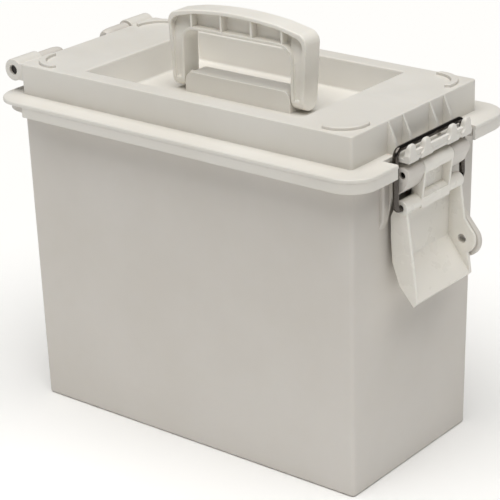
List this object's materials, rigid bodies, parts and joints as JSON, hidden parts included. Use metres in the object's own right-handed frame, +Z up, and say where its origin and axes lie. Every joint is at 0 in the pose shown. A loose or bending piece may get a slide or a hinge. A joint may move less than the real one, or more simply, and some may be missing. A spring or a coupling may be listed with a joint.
{
  "type": "latching dry box",
  "caption": "Deep rigid plastic box with a hinged lid, fold-down carrying handle set in a well, and an over-centre end latch with a steel wire bail.",
  "frame": {"origin": "centre of the underside of the tub, on the surface that it stands on", "axes": "+Z up; +X towards the latch end, -X towards the hinge end; +Y to the side with the padlock ears"},
  "size_m": [0.391, 0.2158, 0.3553],
  "materials": {
    "tub_plastic": "warm white moulded plastic, fine satin texture",
    "lid_plastic": "warm white moulded plastic, satin",
    "handle_plastic": "warm white moulded plastic, satin, smooth grip",
    "latch_plastic": "off-white moulded plastic, slightly glossy",
    "gasket_rubber": "matt black sealing rubber",
    "bail_steel": "dark bent steel wire, semi-bright",
    "pin_steel": "plain steel pin"
  },
  "bodies": {
    "tub_body": {"tub": "tub_plastic", "latch_pin": "pin_steel", "hinge_pin_near": "pin_steel", "hinge_pin_far": "pin_steel"},
    "lid_body": {"lid": "lid_plastic", "lid_gasket": "gasket_rubber"},
    "handle_body": {"handle": "handle_plastic"},
    "lever_body": {"latch_lever": "latch_plastic"},
    "bail_body": {"wire_bail": "bail_steel"}
  },
  "joints": [
    {"name": "lid_hinge", "type": "hinge", "parent": "tub_body", "child": "lid_body", "pos_m": [-0.1786, 0, 0.298], "axis": [0, -1, 0], "range_deg": [0, 110]},
    {"name": "handle_fold", "type": "hinge", "parent": "lid_body", "child": "handle_body", "pos_m": [0, 0, 0.2935], "axis": [1, 0, 0], "range_deg": [-90, 90]},
    {"name": "latch_lever_swing", "type": "hinge", "parent": "tub_body", "child": "lever_body", "pos_m": [0.1845, 0, 0.265], "axis": [0, -1, 0], "range_deg": [0, 100]},
    {"name": "bail_swing", "type": "hinge", "parent": "lever_body", "child": "bail_body", "pos_m": [0.1815, 0, 0.237], "axis": [0, -1, 0], "range_deg": [-56, 0]}
  ],
  "couplings": [
    {"joint": "bail_swing", "follows": "latch_lever_swing", "ratio": -0.55}
  ]
}
